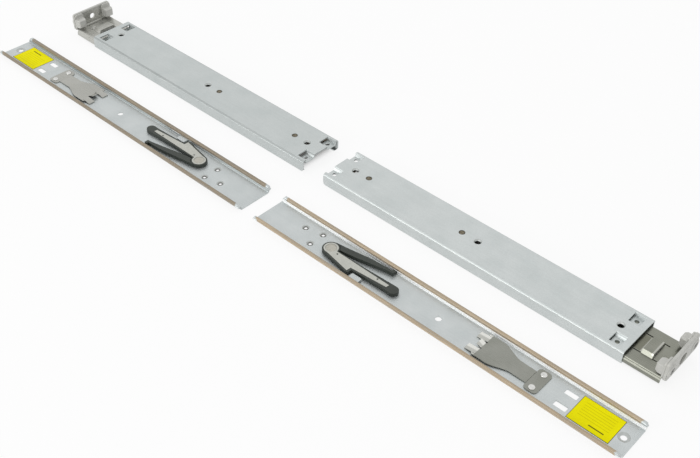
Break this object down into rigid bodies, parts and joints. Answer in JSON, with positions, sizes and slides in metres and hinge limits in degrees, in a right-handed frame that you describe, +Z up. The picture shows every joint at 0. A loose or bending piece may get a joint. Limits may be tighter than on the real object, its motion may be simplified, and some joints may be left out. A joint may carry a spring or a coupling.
{
  "type": "sliding server rail pair",
  "caption": "Pair of short ball-bearing server slide rails with telescoping rack brackets, drawn-out inner rails, spring latches and release levers.",
  "frame": {"origin": "centre of the rectangle that the four rails cover on the bench, at bench height", "axes": "+X along the rails, +Y from the inner rails to the outer rails, +Z up from the bench"},
  "size_m": [0.676, 0.1147, 0.0224],
  "materials": {
    "zinc_sheet": "bright zinc plate",
    "race_steel": "oiled",
    "rivet_bronze": "brown passivated",
    "cage_steel": "bright, oiled",
    "ball_steel": "polished",
    "stainless_sheet": "cold rolled stainless",
    "latch_stainless": "cold rolled stainless",
    "rivet_steel": "plated",
    "cap_casting": "matt light grey",
    "peg_casting": "matt light grey",
    "screw_steel": "zinc plate",
    "label_film": "matt yellow film, blank",
    "lever_plastic": "moulded black",
    "plate_steel": "plated",
    "pivot_steel": "plated, beige"
  },
  "bodies": {
    "left_outer_rail": {"left_outer_channel": "zinc_sheet", "left_race_member": "race_steel", "left_race_rivets": "rivet_bronze"},
    "left_bracket": {"left_telescoping_bracket": "stainless_sheet", "left_end_cap": "cap_casting", "left_lower_rack_peg": "peg_casting", "left_upper_rack_peg": "peg_casting", "left_peg_screws": "screw_steel"},
    "left_cage": {"left_ball_cage": "cage_steel", "left_cage_balls": "ball_steel"},
    "left_inner_rail": {"left_inner_rail": "zinc_sheet", "left_label": "label_film", "left_latch_foot": "latch_stainless", "left_latch_rivets": "rivet_steel", "left_lever_pivot": "pivot_steel"},
    "left_latch": {"left_latch_leaf": "latch_stainless"},
    "left_lever": {"left_release_lever": "lever_plastic", "left_lever_catch_plate": "plate_steel", "left_lever_spring_leg": "lever_plastic"},
    "right_outer_rail": {"right_outer_channel": "zinc_sheet", "right_race_member": "race_steel", "right_race_rivets": "rivet_bronze"},
    "right_bracket": {"right_telescoping_bracket": "stainless_sheet", "right_end_cap": "cap_casting", "right_lower_rack_peg": "peg_casting", "right_upper_rack_peg": "peg_casting", "right_peg_screws": "screw_steel"},
    "right_cage": {"right_ball_cage": "cage_steel", "right_cage_balls": "ball_steel"},
    "right_inner_rail": {"right_inner_rail": "zinc_sheet", "right_label": "label_film", "right_latch_foot": "latch_stainless", "right_latch_rivets": "rivet_steel", "right_lever_pivot": "pivot_steel"},
    "right_latch": {"right_latch_leaf": "latch_stainless"},
    "right_lever": {"right_release_lever": "lever_plastic", "right_lever_catch_plate": "plate_steel", "right_lever_spring_leg": "lever_plastic"}
  },
  "joints": [
    {"name": "left_bracket_slide", "type": "slide", "parent": "left_outer_rail", "child": "left_bracket", "axis": [1, 0, 0], "range_m": [-0.02, 0.01]},
    {"name": "left_cage_slide", "type": "slide", "parent": "left_outer_rail", "child": "left_cage", "axis": [1, 0, 0], "range_m": [-0.0285, 0.0345]},
    {"name": "left_inner_rail_lift", "type": "slide", "parent": "left_outer_rail", "child": "left_inner_rail", "axis": [0, 0, 1], "range_m": [0, 0.06]},
    {"name": "left_latch_lift", "type": "hinge", "parent": "left_inner_rail", "child": "left_latch", "pos_m": [-0.2591, -0.0395, 0.0012], "axis": [0, -1, 0], "range_deg": [0, 3.5], "stiffness_Nm_per_rad": 5},
    {"name": "left_lever_swing", "type": "hinge", "parent": "left_inner_rail", "child": "left_lever", "pos_m": [-0.0765, -0.0382, 0.0028], "axis": [0, 0, 1], "range_deg": [0, 6], "stiffness_Nm_per_rad": 2.2, "deforming": ["left_lever_spring_leg"]},
    {"name": "right_outer_rail_lift", "type": "slide", "parent": "left_outer_rail", "child": "right_outer_rail", "axis": [0, 0, 1], "range_m": [0, 0.06]},
    {"name": "right_bracket_slide", "type": "slide", "parent": "right_outer_rail", "child": "right_bracket", "axis": [-1, 0, 0], "range_m": [-0.02, 0.01]},
    {"name": "right_cage_slide", "type": "slide", "parent": "right_outer_rail", "child": "right_cage", "axis": [-1, 0, 0], "range_m": [-0.0285, 0.0345]},
    {"name": "right_inner_rail_lift", "type": "slide", "parent": "left_outer_rail", "child": "right_inner_rail", "axis": [0, 0, 1], "range_m": [0, 0.06]},
    {"name": "right_latch_lift", "type": "hinge", "parent": "right_inner_rail", "child": "right_latch", "pos_m": [0.2591, -0.0395, 0.0012], "axis": [0, 1, 0], "range_deg": [0, 3.5], "stiffness_Nm_per_rad": 5},
    {"name": "right_lever_swing", "type": "hinge", "parent": "right_inner_rail", "child": "right_lever", "pos_m": [0.0765, -0.0408, 0.0028], "axis": [0, 0, 1], "range_deg": [0, 6], "stiffness_Nm_per_rad": 2.2, "deforming": ["right_lever_spring_leg"]}
  ]
}
